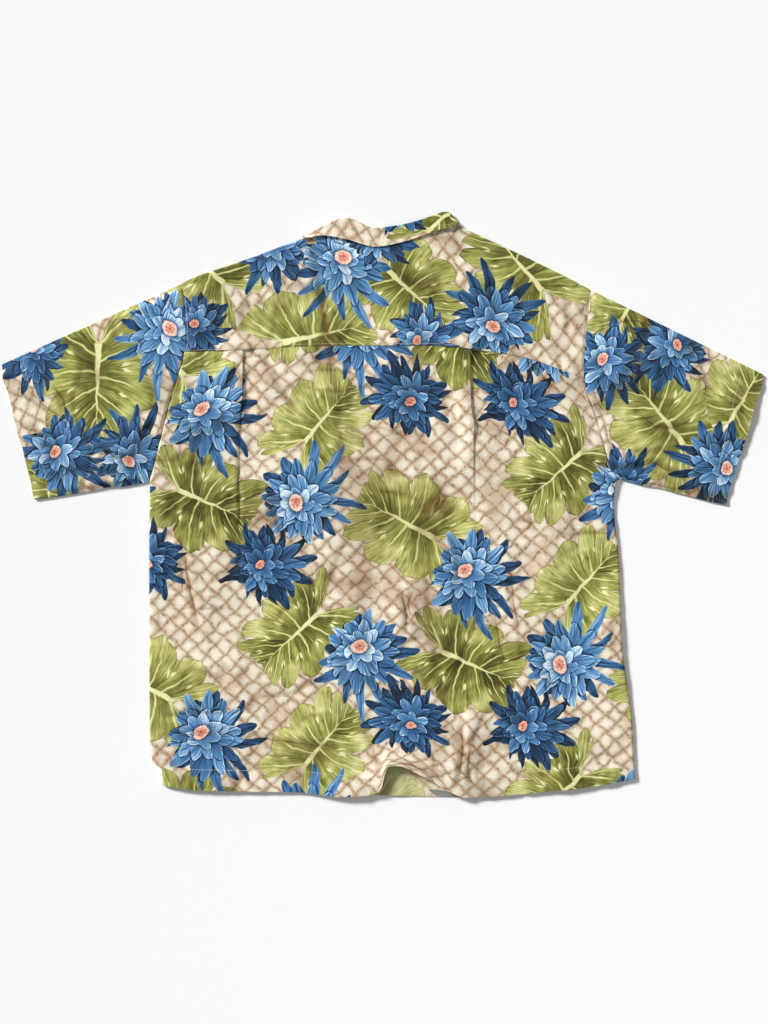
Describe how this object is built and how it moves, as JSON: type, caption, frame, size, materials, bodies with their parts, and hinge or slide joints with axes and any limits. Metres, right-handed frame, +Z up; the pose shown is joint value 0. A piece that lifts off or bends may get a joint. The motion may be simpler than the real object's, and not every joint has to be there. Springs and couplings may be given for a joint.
{
  "type": "short-sleeved aloha shirt, laid flat",
  "caption": "Short-sleeved camp-collar shirt laid flat on its front: back with two pleats, yoke, fronts, sleeves, collar and buttons.",
  "frame": {"origin": "centre of the bounding box's bottom: on the surface the shirt lies on", "axes": "+X across the back from its left sleeve to its right sleeve as seen from above, +Y from hem to collar, +Z up from the surface through the fronts to the back"},
  "size_m": [1.0687, 0.8112, 0.0127],
  "materials": {
    "back": "matt printed cotton",
    "yoke": "matt printed cotton",
    "front_left": "matt printed cotton",
    "front_right": "matt printed cotton",
    "sleeve_left": "matt printed cotton",
    "sleeve_right": "matt printed cotton",
    "collar": "matt printed cotton",
    "button": "satin, horn-like"
  },
  "bodies": {
    "root": {"back": "back", "yoke": "yoke", "front_left": "front_left", "front_right": "front_right", "sleeve_left": "sleeve_left", "sleeve_right": "sleeve_right", "collar": "collar", "button_1": "button", "button_2": "button", "button_3": "button", "button_4": "button", "button_5": "button", "button_6": "button"}
  },
  "joints": []
}
